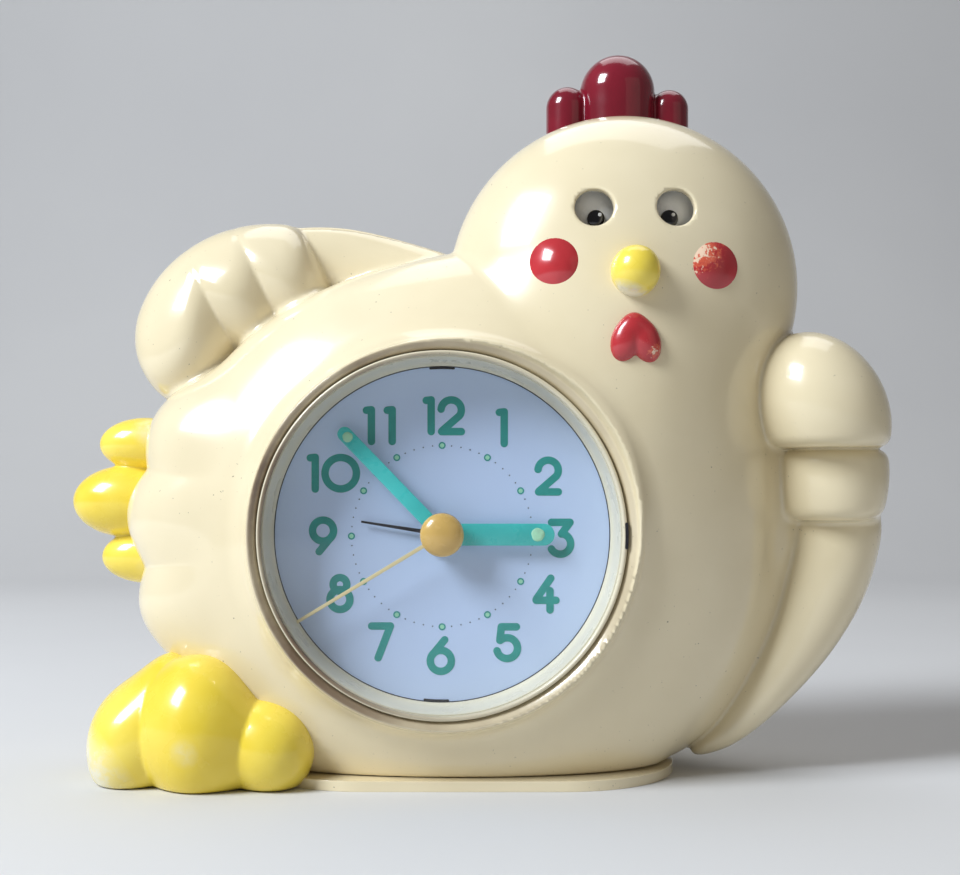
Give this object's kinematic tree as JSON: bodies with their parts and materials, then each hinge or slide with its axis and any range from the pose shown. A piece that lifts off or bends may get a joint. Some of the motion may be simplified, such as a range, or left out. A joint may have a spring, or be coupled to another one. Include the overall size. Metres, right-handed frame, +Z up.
{
  "type": "novelty alarm clock",
  "caption": "Glossy chicken-shaped quartz alarm clock: round dial in the belly, raised tail wing, folded wing, yellow foot, swinging eyes and a press-button comb.",
  "frame": {"origin": "on the base plate's resting face, below the point midway across the clock and on the plane where the front and back mouldings meet", "axes": "+X to the viewer's right along the longest side, +Y from the dial towards the flat back, +Z up"},
  "size_m": [0.1696, 0.063, 0.148],
  "materials": {
    "cream_plastic": "glossy",
    "yellow_paint": "glossy",
    "red_paint": "glossy",
    "comb_plastic": "glossy",
    "steel": "satin",
    "white_plastic": "matte",
    "brass": "satin",
    "clear_lens": "clear",
    "dial_print": "satin",
    "turquoise_paint": "satin",
    "cream_paint": "satin",
    "black_plastic": "matte",
    "luminous_paint": "matte",
    "amber_plastic": "glossy",
    "copper_winding": "satin",
    "circuit_board": "satin",
    "battery_wrap": "glossy"
  },
  "bodies": {
    "case": {"front_shell": "cream_plastic", "rear_shell": "cream_plastic", "base_plate": "cream_plastic", "foot": "yellow_paint", "tail": "yellow_paint", "beak": "yellow_paint", "wattle": "red_paint", "cheeks": "red_paint", "comb_spring": "steel", "comb_guide": "white_plastic", "bezel_ring": "cream_plastic", "lens": "clear_lens", "dial": "dial_print", "front_plate": "white_plastic", "bridge_plate": "white_plastic", "movement_cover": "white_plastic", "movement_screws": "steel", "stator": "steel", "coil": "copper_winding", "clock_board": "circuit_board", "crystal": "steel", "switch_body": "steel", "battery_tray": "black_plastic", "battery_cell": "battery_wrap", "contacts": "steel", "speaker_frame": "steel", "speaker_cone": "black_plastic", "speaker_magnet": "steel", "sound_board": "circuit_board", "sound_chip": "black_plastic", "eye_pivot": "steel", "eye_coil": "copper_winding", "eye_bracket": "white_plastic", "case_screws": "steel"},
    "second_train": {"second_hand": "cream_paint", "centre_cap": "amber_plastic", "second_wheel": "white_plastic"},
    "third_gear": {"third_wheel": "white_plastic"},
    "centre_gear": {"centre_wheel": "brass"},
    "intermediate_gear": {"intermediate_wheel": "white_plastic"},
    "rotor_gear": {"rotor": "white_plastic", "rotor_magnet": "black_plastic"},
    "minute_train": {"minute_hand": "turquoise_paint", "minute_lume": "luminous_paint", "cannon_pinion": "brass"},
    "minute_gear": {"minute_wheel": "white_plastic"},
    "hour_train": {"hour_hand": "turquoise_paint", "hour_lume": "luminous_paint", "hour_wheel": "white_plastic"},
    "time_setter": {"time_knob": "white_plastic"},
    "alarm_train": {"alarm_hand": "black_plastic", "alarm_wheel": "white_plastic"},
    "alarm_setter": {"alarm_knob": "white_plastic"},
    "comb": {"comb_button": "comb_plastic"},
    "switch_slider": {"alarm_switch": "black_plastic"},
    "door": {"battery_door": "cream_plastic"},
    "eye_lever": {"eyes": "white_plastic", "pupils": "black_plastic", "eye_magnet": "steel"}
  },
  "joints": [
    {"name": "second_spin", "type": "hinge", "parent": "case", "child": "second_train", "pos_m": [-0.0082, -0.02, 0.0485], "axis": [0, 1, 0], "continuous": true},
    {"name": "third_spin", "type": "hinge", "parent": "case", "child": "third_gear", "pos_m": [-0.01615, -0.013, 0.04391], "axis": [0, 1, 0], "continuous": true},
    {"name": "centre_spin", "type": "hinge", "parent": "case", "child": "centre_gear", "pos_m": [-0.0082, -0.0145, 0.0485], "axis": [0, 1, 0], "continuous": true},
    {"name": "intermediate_spin", "type": "hinge", "parent": "case", "child": "intermediate_gear", "pos_m": [-0.003, -0.011, 0.0455], "axis": [0, 1, 0], "continuous": true},
    {"name": "rotor_spin", "type": "hinge", "parent": "case", "child": "rotor_gear", "pos_m": [0.00185, -0.012, 0.0427], "axis": [0, 1, 0], "continuous": true},
    {"name": "minute_spin", "type": "hinge", "parent": "case", "child": "minute_train", "pos_m": [-0.0082, -0.02, 0.0485], "axis": [0, 1, 0], "continuous": true},
    {"name": "minute_wheel_spin", "type": "hinge", "parent": "case", "child": "minute_gear", "pos_m": [-0.0118, -0.017, 0.05474], "axis": [0, 1, 0], "continuous": true},
    {"name": "hour_spin", "type": "hinge", "parent": "case", "child": "hour_train", "pos_m": [-0.0082, -0.018, 0.0485], "axis": [0, 1, 0], "continuous": true},
    {"name": "time_knob_turn", "type": "hinge", "parent": "case", "child": "time_setter", "pos_m": [-0.0154, 0.01, 0.06097], "axis": [0, 1, 0], "continuous": true},
    {"name": "alarm_spin", "type": "hinge", "parent": "case", "child": "alarm_train", "pos_m": [-0.0082, -0.019, 0.0485], "axis": [0, 1, 0], "continuous": true},
    {"name": "alarm_knob_turn", "type": "hinge", "parent": "case", "child": "alarm_setter", "pos_m": [0.00007, 0.01, 0.05544], "axis": [0, 1, 0], "continuous": true},
    {"name": "comb_press", "type": "slide", "parent": "case", "child": "comb", "axis": [0, 0, -1], "range_m": [0, 0.003], "stiffness_N_per_m": 300, "springref_m": -0.003, "deforming": ["comb_spring"]},
    {"name": "alarm_switch_slide", "type": "slide", "parent": "case", "child": "switch_slider", "axis": [1, 0, 0], "range_m": [0, 0.004]},
    {"name": "battery_door_hinge", "type": "hinge", "parent": "case", "child": "door", "pos_m": [-0.0046, 0.02295, 0.0184], "axis": [-1, 0, 0], "range_deg": [0, 100]},
    {"name": "eye_swing", "type": "hinge", "parent": "case", "child": "eye_lever", "pos_m": [0.0281, -0.023, 0.096], "axis": [0, 1, 0], "range_deg": [-8, 8]}
  ],
  "couplings": [
    {"joint": "third_spin", "follows": "second_spin", "ratio": -0.13333},
    {"joint": "centre_spin", "follows": "second_spin", "ratio": 0.016667},
    {"joint": "intermediate_spin", "follows": "second_spin", "ratio": -5},
    {"joint": "rotor_spin", "follows": "second_spin", "ratio": 30},
    {"joint": "minute_wheel_spin", "follows": "minute_spin", "ratio": -0.33333},
    {"joint": "hour_spin", "follows": "minute_spin", "ratio": 0.083333},
    {"joint": "time_knob_turn", "follows": "minute_spin", "ratio": 1},
    {"joint": "alarm_knob_turn", "follows": "alarm_spin", "ratio": -4}
  ]
}
